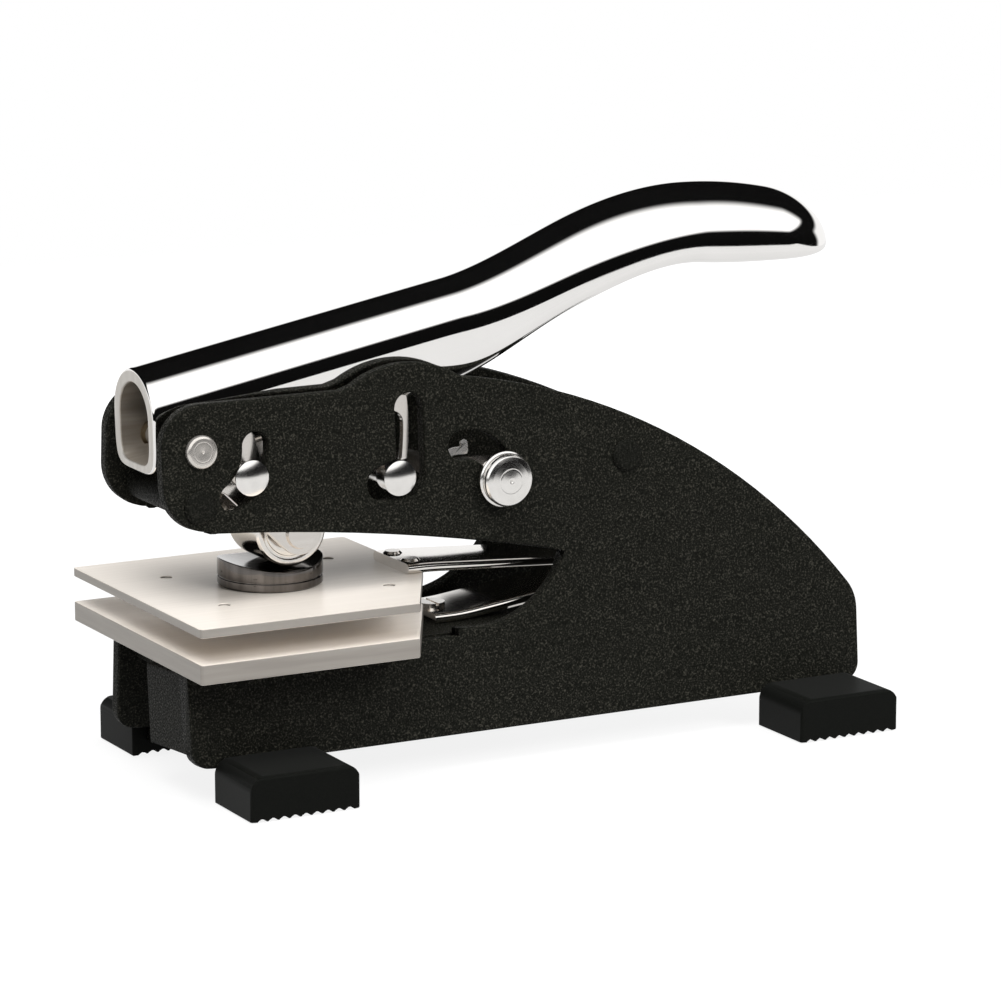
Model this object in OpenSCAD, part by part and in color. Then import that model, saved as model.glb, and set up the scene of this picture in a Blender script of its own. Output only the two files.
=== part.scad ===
// Desk embossing press: two leaning side plates carry a chrome hand lever whose roller pushes a saddle
// pad, and with it the upper die plate, down on the lower die plate. A bow spring lifts it again.
// Millimetres. X runs from the die end (front) to the hand grip (rear), Z up, left is the -Y side,
// which has the lock button. Heights are above the desk, lengths start at the front feet's front face.

/* [Frame] */
// Thickness of each steel side plate
plate_t = 4; // [3:0.25:5]
// Lean of each side plate from upright, in degrees
plate_lean = 4.5; // [3.5:0.25:5.5]
// Height of the plates' bottom edge
plate_bottom = 8.8; // [8.2:0.1:9.6]
// Front end of the upper jaw
snout_x = -10; // [-13:0.5:-9]
// Height of the upper jaw's flat top
snout_top = 100; // [98:0.5:101]
// Radius of the upper jaw's top front corner
snout_top_r = 11; // [6:0.5:12]
// Radius of the upper jaw's lower front corner
snout_low_r = 12; // [6:0.5:13]
// Front end of the lower jaw
lower_jaw_x = -5.8; // [-8:0.2:-4]
// Rear end of the plates
rear_x = 190.5; // [187:0.5:194]
// Radius of the rear corner
rear_r = 12; // [6:1:20]
// Radius of the small bottom corners
foot_corner_r = 5; // [3:0.5:7]
// Radius of the long curved back
back_r = 180; // [170:1:200]
// Crest of the curved back, along the press
back_x = 47.8; // [44:0.2:52]
// Crest of the curved back, above the desk
back_top = 102.7; // [101.5:0.1:104]
// Middle of the hump over the jaw
hump_x = 58.1; // [55:0.2:61]
// Height of the hump
hump_top = 105.5; // [104.5:0.1:108]
// Radius of the hump
hump_r = 27.6; // [24:0.2:32]
// Radius of the hollow in front of the hump
hump_fill_r = 6; // [3:0.5:9]
// Middle of the throat's round end
throat_x = 77.3; // [74:0.2:80]
// Height of the throat's floor behind the dies
throat_floor = 36.1; // [35.5:0.1:37]
// Radius of the throat's round end
throat_r = 26; // [23:0.5:28]
// Radius of the upper jaw's bowed underside
jaw_arc_r = 616; // [500:1:700]
// Crest of that underside, along the press
jaw_arc_x = -36.3; // [-45:0.2:-30]
// Crest of that underside, above the desk
jaw_arc_top = 68.7; // [67.5:0.1:69.5]
// Height of the lower die plate's seat
seat_z = 34.3; // [33:0.1:35]
// Clearance between the die plates and the seat's locating step
seat_gap = 1.6; // [0.5:0.1:3]
// How far the bent-in end flange of each plate reaches inwards
flange_reach = 22; // [16:0.5:22]
// Height of the flange's lower edge
flange_z = 12.5; // [10:0.5:14]

/* [Pivots and slots] */
// Handle pivot, along the press
pivot_x = 0.4; // [-1:0.1:2]
// Handle pivot, above the desk
pivot_z = 87.9; // [87:0.1:89]
// Radius of the pivot rivet
pivot_r = 3; // [2.5:0.1:3.4]
// Distance from the pivot to the drive pin
drive_reach = 15; // [14:0.2:16]
// Angle of the drive pin below level
drive_angle = 30; // [27:1:33]
// Radius of the drive pin
drive_r = 3; // [2.4:0.1:3.2]
// Half width of the drive pin's curved slot
drive_slot_r = 3.5; // [3.4:0.1:4]
// Upward sweep of that slot from the pin
drive_slot_up = 30; // [20:1:34]
// Downward sweep of that slot from the pin
drive_slot_down = 26; // [20:1:30]
// Stop pin, along the press
stop_x = 54.4; // [53:0.1:56]
// Stop pin, above the desk
stop_z = 76.4; // [75.5:0.1:76.6]
// Radius of the stop pin
stop_r = 3; // [2.4:0.1:3.2]
// How far the stop slot's shaft stands behind the pin
stop_shaft_dx = 4; // [3.6:0.1:5]
// How far the stop slot's shaft rises above the pin
stop_shaft_dz = 17.1; // [12:0.1:18]
// Half width of that shaft
stop_shaft_r = 3.95; // [3.5:0.05:4.4]
// How far the slot's toe runs forward of the pin
stop_toe_dx = 4.2; // [4.2:0.1:5]
// How far the toe drops below the pin
stop_toe_dz = 1.4; // [1:0.1:1.8]
// Radius of the toe
stop_toe_r = 4.3; // [4:0.1:4.6]
// Radius of the slot's heel
stop_heel_r = 5.1; // [4.6:0.1:5.3]
// Front spacer stud, along the press
stud_front_x = -0.5; // [-1.5:0.1:0.5]
// Front spacer stud, above the desk
stud_front_z = 74.1; // [73:0.1:74.5]
// Rear spacer stud, along the press
stud_rear_x = 121; // [115:0.5:127]
// Rear spacer stud, above the desk
stud_rear_z = 75.8; // [70:0.2:77]
// Radius of the spacer studs between the plates
stud_r = 4; // [3.4:0.1:4.2]
// Radius of the heads of the studs and pins
head_r = 4.2; // [4.1:0.05:4.5]

/* [Handle] */
// Width of the lever's hollow front
handle_w = 24.4; // [22:0.2:26]
// Height of the lever's hollow front
handle_h = 25.6; // [24.5:0.1:26.4]
// Depth of the lever's underside below the pivot
handle_drop = 5.5; // [5.2:0.1:6]
// Rise of the lever's straight front, in degrees
handle_rise = 10.46; // [9.5:0.1:11]
// Wall of the hollow front
handle_wall = 3.6; // [2.5:0.1:4]
// Floor of the hollow front
handle_floor = 2.2; // [1.5:0.1:2.4]
// Front end of the lever at mid height
mouth_x = -9.2; // [-10.5:0.1:-8.5]
// Lean of the lever's cut front end from upright, in degrees
mouth_lean = 1.5; // [0:0.5:11]
// End of the lever's straight top
bend_x = 77.8; // [72:0.2:82]
// End of the lever's straight underside
low_bend_x = 71; // [62:0.5:76]
// Thickness of the bent neck
neck_h = 21; // [19:0.1:24]
// Highest point of the grip, along the press
grip_x = 148.2; // [144:0.2:154]
// Highest point of the grip, above the desk
grip_top = 142.9; // [141:0.1:146]
// Thickness of the grip at its highest point
grip_h = 20.3; // [18:0.1:23]
// Width of the grip
grip_w = 30; // [27:0.2:32]
// Rear tip of the grip
tip_x = 191.7; // [190.5:0.1:198]
// Height of the tip
tip_z = 125.1; // [123:0.1:127]
// Share of the grip behind its highest point that is full before the nose rounds off
nose_start = 0.58; // [0.4:0.01:0.7]
// Depth of the hollow behind the mouth, end position along the press
hollow_x = 118; // [90:1:122]
// Thickness of the two press cheeks on the lever
cheek_t = 1.8; // [1.6:0.1:2.6]
// Radius of the cheek round the pivot
cheek_pivot_r = 6; // [5.4:0.1:6.2]
// Radius of the cheek round the drive pin
cheek_drive_r = 6.4; // [5.8:0.1:6.6]
// Radius of the cheek round the roller axle
cheek_axle_r = 5.8; // [4.2:0.1:6.2]
// Radius of the cheek's rear arm end
cheek_arm_r = 8.5; // [8:0.1:8.8]
// Radius of the cheek's rear edge round the pivot
cheek_reach = 60.2; // [59.8:0.1:62]

/* [Press head] */
// Radius of the press roller
roller_r = 9.8; // [8.8:0.1:10.4]
// Length of the press roller
roller_len = 17.5; // [14:0.5:19]
// Roller axle, along the press
roller_x = 29.9; // [28.5:0.1:31]
// Radius of the roller axle
axle_r = 2.5; // [2:0.1:3]
// Saddle pad's axis, along the press
pad_x = 27.9; // [27:0.1:29]
// Radius of the saddle pad
pad_r = 13.5; // [12:0.1:15]
// Height of the pad at the bottom of its saddle
pad_h = 5.2; // [4.8:0.1:6]
// Radius of the saddle that the roller rocks in
saddle_r = 44; // [36:1:60]
// Front edge of both die plates
die_x = -9.6; // [-12:0.2:-8]
// Length of both die plates
die_len = 78; // [72:0.2:79]
// Width of both die plates
die_w = 79; // [64:0.2:84]
// Thickness of the upper die plate
upper_t = 2.3; // [2:0.1:3]
// Thickness of the lower die plate
lower_t = 5; // [4:0.1:5.5]
// Open gap between the die plates
die_gap = 6.7; // [6.5:0.1:8]
// Radius of the die plates' corners
die_corner_r = 1; // [0.5:0.5:4]
// Length of the keyed corner along the plate
key_len = 18; // [10:0.5:20]
// Length of the keyed corner across the plate
key_w = 33; // [20:0.5:36]
// Thickness of the bow spring
bow_t = 2.7; // [2:0.1:3.2]
// Width of the bow spring
bow_w = 20; // [14:0.5:24]
// Middle of the bow spring's rear bend, behind the die plates' rear edge
bow_reach = 43.6; // [36:0.2:46]
// Fall of the bow's upper leaf to the rear, in degrees
bow_fall = 3.8; // [2:0.1:5]
// Rise of the bow's lower leaf to the rear, in degrees
bow_climb = 7; // [5:0.1:7.4]
// Overlap of the bow's upper leaf on the upper die plate
bow_lap = 6; // [5:0.5:12]
// Thickness of the bed between the side plates
bed_t = 6; // [4:0.5:8]

/* [Lock] */
// Lock pivot, along the press
lock_x = 74.6; // [74.2:0.1:77]
// Lock pivot, above the desk
lock_z = 73.5; // [72.5:0.1:74]
// Distance from the lock pivot to the lock bolt
lock_reach = 9.3; // [9:0.1:10]
// Half width of the lock's curved slot
lock_slot_r = 3.7; // [3.4:0.1:4]
// Sweep of the lock's curved slot, in degrees
lock_sweep = 100; // [80:1:104]
// Radius of the lock bolt
bolt_r = 3; // [2.4:0.1:3.2]
// Radius of the lock button
button_r = 7.3; // [6:0.1:8]
// How far the lock button stands out
button_h = 5; // [4.2:0.1:7]

/* [Feet] */
// Length of a foot
foot_len = 30; // [26:0.5:34]
// Width of a foot
foot_w = 21.2; // [18:0.2:24]
// Height of a foot
foot_h = 11.3; // [10.5:0.1:12]
// Distance between the front and rear feet
foot_pitch = 158.8; // [150:0.5:160]
// Ribs under a foot
foot_ribs = 10; // [6:1:12]
// Thickness of the frame tab inside a foot
tab_t = 4; // [3:0.1:4.4]
// Length of that tab along the press
tab_len = 22; // [16:0.5:22]

/* [Fits] */
// Radial clearance of turning and fixed pins
fit = 0.05; // [0.02:0.01:0.08]
// Clearance between parts that pass each other
run_gap = 0.25; // [0.2:0.05:0.4]
// Clearance between the roller and the pad at rest
roll_gap = 0.3; // [0.2:0.05:0.4]

/* [Hidden] */
$fn = 64;

FRAME_BLACK = "#262523";
RUBBER = "#1b1b1b";
CHROME = "#d9d9d6";
STEEL = "#b9b6b0";
NICKEL = "#dcd2c6";
DARK_STEEL = "#4a4744";

// Overlap that makes cuts run clear of the faces they start from
cut = 1;
// Length of cuts that run right across the press
across = 120;

// Points that the pieces share
drive_x = pivot_x + drive_reach * cos(drive_angle);
drive_z = pivot_z - drive_reach * sin(drive_angle);
lower_top = seat_z + lower_t;
upper_bottom = lower_top + die_gap;
upper_top = upper_bottom + upper_t;
roller_z = upper_top + pad_h + roll_gap + roller_r;
bolt_x = lock_x + lock_reach;
bolt_z = lock_z;
arm_x = stop_x + 3.2;
arm_z = stop_z + 11.6;
die_end = die_x + die_len;
key_x = die_end - key_len;
seat_end_x = die_end + seat_gap;

// Widths across the press: the cheeks lie against the lever, and the plates clear the cheeks' tops
cheek_in = handle_w / 2;
cheek_out = cheek_in + cheek_t;
cheek_top = arm_z + cheek_arm_r;
base_half = cheek_out + run_gap + plate_t / cos(plate_lean) + tan(plate_lean) * cheek_top;
function outer_y(z) = base_half - tan(plate_lean) * z;
function inner_y(z) = outer_y(z) - plate_t / cos(plate_lean);
function on_slope(z) = z / cos(plate_lean);
// Heads of the sliding pins clear the plates down to the end of their travel
function head_y(z, drop) = outer_y(z - head_r - drop) + run_gap;
foot_in = outer_y(foot_h) + run_gap;

// The lever's top and underside, as straight front, bent neck and grip
rise = tan(handle_rise);
function front_low(x) = pivot_z - handle_drop + (x - pivot_x) * rise;
front_tall = handle_h / cos(handle_rise);
grip_run = grip_x - bend_x;
nose_x = grip_x + nose_start * (tip_x - grip_x);
// Cubic that leaves (x0, z0) at slope m0 and reaches (x1, z1) at slope m1
function blend(x, x0, z0, m0, x1, z1, m1) =
    let (l = x1 - x0, t = (x - x0) / l)
    (2 * t ^ 3 - 3 * t ^ 2 + 1) * z0 + (t ^ 3 - 2 * t ^ 2 + t) * l * m0
    + (3 * t ^ 2 - 2 * t ^ 3) * z1 + (t ^ 3 - t ^ 2) * l * m1;
// The neck swings up most steeply at this share of its run
neck_share = 0.484;
neck_x = bend_x + neck_share * grip_run;
neck_slope = 0.405;
// Share of the climb from the straight front to the grip that is done there
neck_lift = 0.616;
bend_top = front_low(bend_x) + front_tall;
neck_top = bend_top + neck_lift * (grip_top - bend_top);
neck_low = neck_top - neck_h;
grip_low_slope = -0.1;
nose_top = grip_top - 2.5;
nose_low = grip_top - grip_h - 1;
function lever_top(x) =
    x < bend_x ? front_low(x) + front_tall
    : x < neck_x ? blend(x, bend_x, bend_top, rise, neck_x, neck_top, neck_slope)
    : x < grip_x ? blend(x, neck_x, neck_top, neck_slope, grip_x, grip_top, 0)
    : grip_top - (grip_top - nose_top) * ((x - grip_x) / (nose_x - grip_x)) ^ 2;
function lever_low(x) =
    x < low_bend_x ? front_low(x)
    : x < neck_x ? blend(x, low_bend_x, front_low(low_bend_x), rise, neck_x, neck_low, neck_slope)
    : x < grip_x ? blend(x, neck_x, neck_low, neck_slope, grip_x, grip_top - grip_h, grip_low_slope)
    : blend(min(x, nose_x), grip_x, grip_top - grip_h, grip_low_slope, nose_x, nose_low, 0);
function lever_half(x) =
    x < bend_x ? handle_w / 2
    : blend(min(x, grip_x), bend_x, handle_w / 2, 0, grip_x, grip_w / 2, 0);
// Share of the full section that is left along the rounded nose, which is blunter seen from the side
nose_side = 2.45;
nose_plan = 1.96;
function nose_share(x, power) =
    x <= nose_x ? 1 : max(0, 1 - ((x - nose_x) / (tip_x - nose_x)) ^ power) ^ (1 / power);

// The front opening leans forward a little; this is its foremost point
mouth_mid_z = front_low(mouth_x) + front_tall / 2;
mouth_front = mouth_x - front_tall / 2 * tan(mouth_lean);
// Middle of the press, which the part's origin lies under
x_mid = (min(mouth_front, snout_x, die_x) + tip_x) / 2;

function polar(a, r) = [r * cos(a), r * sin(a)];

// Flat bar with round ends of two sizes, drawn with its true tangent lines
module taper_bar(a, ra, b, rb) {
    d = norm(b - a);
    turn = atan2(b[1] - a[1], b[0] - a[0]);
    lean = acos((ra - rb) / d);
    translate(a) circle(ra);
    translate(b) circle(rb);
    polygon([
        a + polar(turn + lean, ra), a + polar(turn - lean, ra),
        b + polar(turn - lean, rb), b + polar(turn + lean, rb)]);
}

// Sector of a disc, for sweeps up to 180 degrees
module sector(c, r, from, to) {
    far = 2 * r / cos((to - from) / 4);
    intersection() {
        translate(c) circle(r);
        polygon([c, c + polar(from, far), c + polar((3 * from + to) / 4, far),
            c + polar((from + to) / 2, far), c + polar((from + 3 * to) / 4, far), c + polar(to, far)]);
    }
}

// Slot of constant width that follows an arc round a centre; its round ends are a hair wider, so that
// they cross the arcs instead of only touching them
module arc_slot(c, reach, from, to, half) {
    difference() {
        sector(c, reach + half, from, to);
        translate(c) circle(reach - half);
    }
    for (a = [from, to]) translate(c + polar(a, reach)) circle(half + 0.02);
}

// What is taken off a square corner to round it; the quadrant says which way the corner points
module corner_cut(corner, r, sx, sz) {
    difference() {
        translate([corner[0] + (sx > 0 ? -r : -cut), corner[1] + (sz > 0 ? -r : -cut)])
            square([r + cut, r + cut]);
        translate(corner - [sx * r, sz * r]) circle(r);
    }
}

// Draws an outline in the press's side view and gives it width across the press
module along_y(from, to) {
    translate([0, to, 0]) rotate([90, 0, 0]) linear_extrude(to - from) children();
}

// Round bar across the press
module cross_bar(x, z, r, from, to) {
    translate([x, to, z]) rotate([90, 0, 0]) cylinder(h = to - from, r = r);
}

// Puts children on the left plate: X along, Y up its slope, Z out of its outer face
module on_left_plate() {
    translate([0, -base_half, 0]) rotate([90 - plate_lean, 0, 0]) children();
}

module both_sides() {
    children();
    mirror([0, 1, 0]) children();
}

// Everything is drawn from the front feet and moved so that the origin lies under its middle
module placed() {
    translate([-x_mid, 0, 0]) children();
}

// Side plates

hump_z = hump_top - hump_r;
back_z = back_top - back_r;
fill_x = hump_x - sqrt((hump_r + hump_fill_r) ^ 2 - (snout_top + hump_fill_r - hump_z) ^ 2);
fill_dir = [fill_x - hump_x, snout_top + hump_fill_r - hump_z] / (hump_r + hump_fill_r);
rear_cx = rear_x - rear_r;
rear_cz = back_z + sqrt((back_r - rear_r) ^ 2 - (rear_cx - back_x) ^ 2);
rear_dir = [rear_cx - back_x, rear_cz - back_z] / (back_r - rear_r);
jaw_arc_z = jaw_arc_top - jaw_arc_r;
tab_drop = plate_bottom - tab_t - 0.8;
// Rubber outside the end of a tab
tab_wall = 3.6;

// Underside of the upper jaw at a place along the press
function jaw_low(x) = jaw_arc_z + sqrt(jaw_arc_r ^ 2 - (x - jaw_arc_x) ^ 2);

module plate_blank() {
    difference() {
        union() {
            intersection() {
                translate([back_x, back_z]) circle(back_r, $fn = 180);
                translate([snout_x, plate_bottom]) square([rear_x - snout_x, back_top]);
            }
            // Upper jaw in front of the curved back
            translate([snout_x, throat_floor]) square([hump_x - snout_x, snout_top - throat_floor]);
            translate([hump_x, hump_z]) circle(hump_r);
            difference() {
                polygon([[fill_x, snout_top], [hump_x, snout_top],
                    [hump_x, hump_z] + fill_dir * hump_r]);
                translate([fill_x, snout_top + hump_fill_r]) circle(hump_fill_r);
            }
            for (x = [0, foot_pitch])
                translate([x + (foot_len - tab_len) / 2, tab_drop])
                    square([tab_len, plate_bottom - tab_drop + cut]);
        }
        // Flat top in front of the hump
        difference() {
            translate([snout_x - cut, snout_top]) square([hump_x - snout_x + cut, across]);
            translate([hump_x, hump_z]) circle(hump_r);
            polygon([[fill_x, snout_top], [hump_x, snout_top], [hump_x, hump_z] + fill_dir * hump_r]);
        }
        corner_cut([snout_x, snout_top], snout_top_r, -1, 1);
        corner_cut([snout_x, jaw_low(snout_x)], snout_low_r, -1, -1);
        // Rear corner, rounded to meet the curved back
        difference() {
            polygon([[rear_cx, rear_cz], [rear_x + cut, rear_cz],
                [rear_cx, rear_cz] + rear_dir * (2 * rear_r)]);
            translate([rear_cx, rear_cz]) circle(rear_r);
        }
        corner_cut([rear_x, plate_bottom], foot_corner_r, 1, -1);
        corner_cut([lower_jaw_x, plate_bottom], foot_corner_r, -1, -1);
        translate([snout_x - cut, 0]) square([lower_jaw_x - snout_x + cut, seat_z + cut]);
        throat();
    }
}

// Open throat between the jaws, with a step that locates the lower die plate
module throat() {
    intersection() {
        translate([jaw_arc_x, jaw_arc_z]) circle(jaw_arc_r, $fn = 360);
        union() {
            translate([snout_x - cut, throat_floor])
                square([throat_x - snout_x + cut, jaw_arc_top]);
            translate([throat_x, throat_floor + throat_r]) circle(throat_r);
            translate([snout_x - cut, seat_z])
                square([seat_end_x - snout_x + cut, throat_floor - seat_z + cut]);
        }
    }
}

// Curved slot of the drive pin and boot-shaped slot of the stop pin
module pin_slots() {
    arc_slot([pivot_x, pivot_z], drive_reach, -drive_angle - drive_slot_down,
        -drive_angle + drive_slot_up, drive_slot_r);
    stop = [stop_x, stop_z];
    heel = stop + [2.6, 0];
    shaft = stop + [stop_shaft_dx, 0];
    taper_bar(stop - [stop_toe_dx, stop_toe_dz], stop_toe_r, heel, stop_heel_r);
    taper_bar(shaft, stop_shaft_r, shaft + [0, stop_shaft_dz], stop_shaft_r);
}

module lock_slot() {
    arc_slot([lock_x, lock_z], lock_reach, 0, lock_sweep, lock_slot_r);
}

// Plate before its slots: outline, end flange and the two out-turned foot tabs
module side_plate(flange_x) {
    difference() {
        union() {
            on_left_plate() translate([0, 0, -plate_t]) linear_extrude(plate_t) plate_blank();
            on_left_plate() translate([flange_x, on_slope(flange_z), -plate_t - flange_reach])
                cube([plate_t, seat_z - flange_z - 1.5, flange_reach + cut]);
            for (x = [0, foot_pitch])
                translate([x + (foot_len - tab_len) / 2, -foot_in - foot_w + tab_wall, tab_drop])
                    cube([tab_len, foot_w - tab_wall + 0.6, tab_t]);
        }
        along_y(-across, across) pin_slots();
        cross_bar(pivot_x, pivot_z, pivot_r + fit, -across, 0);
        cross_bar(stud_front_x, stud_front_z, stud_shank_r + fit, -across, 0);
        cross_bar(stud_rear_x, stud_rear_z, stud_shank_r + fit, -across, 0);
        cross_bar(lock_x, lock_z, lock_shaft_r + fit, -inner_y(lock_z) - lock_shaft_depth - fit, 0);
    }
}

stud_shank_r = stud_r - 1;
lock_shaft_r = 2.5;
lock_shaft_depth = 2;

module left_side_plate() {
    color(FRAME_BLACK) difference() {
        side_plate(lower_jaw_x);
        along_y(-across, 0) lock_slot();
    }
}

module right_side_plate() {
    color(FRAME_BLACK) mirror([0, 1, 0]) side_plate(rear_x - plate_t);
}

// Flat rivet head with a bevelled rim, seated square on the plates' outer faces
module plate_head(x, z, r, h) {
    both_sides() on_left_plate() translate([x, on_slope(z), 0]) rotate_extrude()
        polygon([[0, -1], [r - 2 * h, -1], [r - 2 * h, 0], [r, 0], [r, 0.4 * h], [r - 0.6 * h, h], [0, h]]);
}

module rivet(x, z, shank_r, h) {
    cross_bar(x, z, shank_r, -outer_y(z), outer_y(z));
    plate_head(x, z, head_r, h);
}

// Stud whose shoulders hold the plates apart
module spacer_stud(x, z) {
    half = inner_y(z + stud_r);
    color(FRAME_BLACK) {
        cross_bar(x, z, stud_r, -half, half);
        rivet(x, z, stud_shank_r, 1.1);
    }
}

module front_spacer_stud() { spacer_stud(stud_front_x, stud_front_z); }
module rear_spacer_stud() { spacer_stud(stud_rear_x, stud_rear_z); }
module pivot_rivet() { color(STEEL) rivet(pivot_x, pivot_z, pivot_r, 1.5); }

module lock_shaft() {
    half = inner_y(lock_z) + lock_shaft_depth;
    color(STEEL) cross_bar(lock_x, lock_z, lock_shaft_r, -half, half);
}

// Bed and lower die plate

bed_front = lower_jaw_x + plate_t + run_gap;
// The bed runs on this far under the bow spring
bed_tail = 23;
bed_end = seat_end_x + bed_tail;
screw_r = 2;
screw_head_r = 3.6;
// Screwdriver slots
slot_w = 0.8;
slot_deep = 1.1;
screw_x = [die_x + 0.3 * die_len, die_x + 0.75 * die_len];

// Cross section leans with the plates, so the bed lies against their inner faces
module die_bed() {
    top = inner_y(seat_z);
    low = inner_y(seat_z - bed_t);
    color(FRAME_BLACK) difference() {
        translate([bed_front, 0, 0]) rotate([90, 0, 90]) linear_extrude(bed_end - bed_front)
            polygon([[-low, seat_z - bed_t], [low, seat_z - bed_t], [top, seat_z], [-top, seat_z]]);
        for (x = screw_x)
            translate([x, 0, seat_z - bed_t - cut]) cylinder(h = bed_t + 2 * cut, r = screw_r + fit);
        translate([bow_screw_x, 0, seat_z - bed_t - cut]) cylinder(h = bed_t + 2 * cut, r = screw_r + fit);
    }
}

// Outline of both die plates: rounded corners, one corner cut slantwise so that they fit one way only
module die_outline() {
    difference() {
        translate([die_x, -die_w / 2]) square([die_len, die_w]);
        for (y = [-1, 1]) corner_cut([die_x, y * die_w / 2], die_corner_r, -1, y);
        corner_cut([die_x + die_len, die_w / 2], die_corner_r, 1, 1);
        polygon([[key_x, -die_w / 2 - cut], [key_x, -die_w / 2],
            [key_x + key_len, -die_w / 2 + key_w], [key_x + key_len + cut, -die_w / 2 + key_w],
            [key_x + key_len + cut, -die_w / 2 - cut]]);
    }
}

module lower_die_plate() {
    color(NICKEL) difference() {
        translate([0, 0, seat_z]) linear_extrude(lower_t) die_outline();
        for (x = screw_x) translate([x, 0, seat_z]) {
            translate([0, 0, -cut]) cylinder(h = lower_t + 2 * cut, r = screw_r + fit);
            translate([0, 0, lower_t - screw_head_h]) cylinder(h = lower_t, r = screw_head_r + fit);
        }
    }
}

screw_head_h = 2.4;
// Heads stay this far below the plate's face
screw_sink = 0.3;

// Cheese-head screws sunk into the lower die plate, with a slot across
module lower_plate_screws() {
    color(STEEL) for (x = screw_x) difference() {
        union() {
            translate([x, 0, seat_z - bed_t]) cylinder(h = bed_t + lower_t - screw_head_h, r = screw_r);
            translate([x, 0, lower_top - screw_head_h])
                cylinder(h = screw_head_h - screw_sink, r = screw_head_r);
        }
        translate([x - slot_w / 2, -screw_head_r - cut, lower_top - screw_sink - slot_deep])
            cube([slot_w, 2 * screw_head_r + 2 * cut, lower_t]);
    }
}

// Bow spring

bow_front = die_end - bow_lap;
bow_rivet_x = bow_front + bow_lap / 2;
bow_rivet_y = bow_w / 4;
bow_rivet_r = 1.6;
// Low heads, so that the leaves close freely
bow_head_h = 0.6;
bow_screw_x = seat_end_x + 4;
// The leaves leave the die plate and the bed at these places and run together to the rear bend
bow_top_x = die_end + 0.6;
bow_low_x = seat_end_x + 8;
bow_x = die_end + bow_reach;
top_drop = (bow_x - bow_top_x) * tan(bow_fall);
low_lift = (bow_x - bow_low_x) * tan(bow_climb);
bow_r = (upper_top - seat_z - bow_t - top_drop - low_lift) / (1 / cos(bow_fall) + 1 / cos(bow_climb));
bow_z = upper_top - top_drop - bow_r / cos(bow_fall);

bow_steps = 24;
// Points along the rear bend at one radius, from one angle to another
function bow_arc(r, from, to) =
    [for (i = [0 : bow_steps]) [bow_x, bow_z] + polar(from + (to - from) * i / bow_steps, r)];

// Strip of spring steel bent into a lying hairpin: its lower leaf is screwed to the bed, its upper leaf
// lies on the upper die plate and carries it
module bow_spring() {
    low_front = seat_end_x + run_gap;
    color(STEEL) difference() {
        along_y(-bow_w / 2, bow_w / 2) polygon(concat(
            [[bow_front, upper_top], [bow_front, upper_top + bow_t]],
            [[bow_top_x + bow_t * tan(bow_fall / 2), upper_top + bow_t]],
            bow_arc(bow_r + bow_t, 90 - bow_fall, bow_climb - 90),
            [[bow_low_x + bow_t * tan(bow_climb / 2), seat_z], [low_front, seat_z]],
            [[low_front, seat_z + bow_t], [bow_low_x, seat_z + bow_t]],
            bow_arc(bow_r, bow_climb - 90, 90 - bow_fall),
            [[bow_top_x, upper_top]]));
        translate([bow_screw_x, 0, seat_z - cut]) cylinder(h = bow_t + 2 * cut, r = screw_r + fit);
        for (y = [-bow_rivet_y, bow_rivet_y])
            translate([bow_rivet_x, y, upper_top - cut]) cylinder(h = bow_t + 2 * cut, r = bow_rivet_r + fit);
    }
}

// Two rivets join the upper leaf and the upper die plate
module bow_rivets() {
    color(STEEL) for (y = [-bow_rivet_y, bow_rivet_y]) translate([bow_rivet_x, y, 0]) {
        translate([0, 0, upper_bottom + 0.2]) cylinder(h = upper_t + bow_t - 0.2, r = bow_rivet_r);
        translate([0, 0, upper_top + bow_t]) cylinder(h = bow_head_h, r1 = 2.6, r2 = 2);
    }
}

module bow_screw() {
    color(STEEL) translate([bow_screw_x, 0, 0]) difference() {
        union() {
            translate([0, 0, seat_z - bed_t]) cylinder(h = bed_t + bow_t, r = screw_r);
            translate([0, 0, seat_z + bow_t]) cylinder(h = 2 * bow_head_h, r = screw_head_r);
        }
        translate([-slot_w / 2, -screw_head_r - cut, seat_z + bow_t + bow_head_h])
            cube([slot_w, 2 * screw_head_r + 2 * cut, 2]);
    }
}

// Upper die plate and saddle pad

dimple_r = 1.5;
dimple_x = [pad_x - 21, pad_x + 25];
dimple_y = 17.5;
dimple_deep = 0.5;

module upper_die_plate() {
    color(NICKEL) difference() {
        translate([0, 0, upper_bottom]) linear_extrude(upper_t) die_outline();
        translate([pad_x, 0, upper_bottom - cut]) cylinder(h = upper_t + 2 * cut, r = screw_r + fit);
        translate([pad_x, 0, upper_bottom - cut]) cylinder(h = cut + 1.1, r = screw_head_r + fit);
        for (y = [-bow_rivet_y, bow_rivet_y])
            translate([bow_rivet_x, y, upper_bottom - cut])
                cylinder(h = upper_t + 2 * cut, r = bow_rivet_r + fit);
        // Shallow dimples that centre a die
        for (x = dimple_x, y = [-dimple_y, dimple_y])
            translate([x, y, upper_top - dimple_deep]) cylinder(h = cut, r = dimple_r);
    }
}

groove = 0.5;

// Round pad with a groove round its side and a long hollow across its top for the roller
module saddle_pad() {
    rim = pad_h + saddle_r - sqrt(saddle_r ^ 2 - pad_r ^ 2);
    color(DARK_STEEL) difference() {
        translate([pad_x, 0, upper_top]) rotate_extrude() difference() {
            square([pad_r, rim + cut]);
            translate([pad_r - groove, 2.2]) square([cut, groove]);
            polygon([[pad_r, -1], [pad_r + 1, -1], [pad_r + 1, 0.5], [pad_r, 0.5], [pad_r - 0.5, 0]]);
        }
        cross_bar(pad_x, upper_top + pad_h + saddle_r, saddle_r, -across, across, $fn = 180);
        translate([pad_x, 0, upper_top - cut]) cylinder(h = 3.4 + cut, r = screw_r + fit);
    }
}

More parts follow.
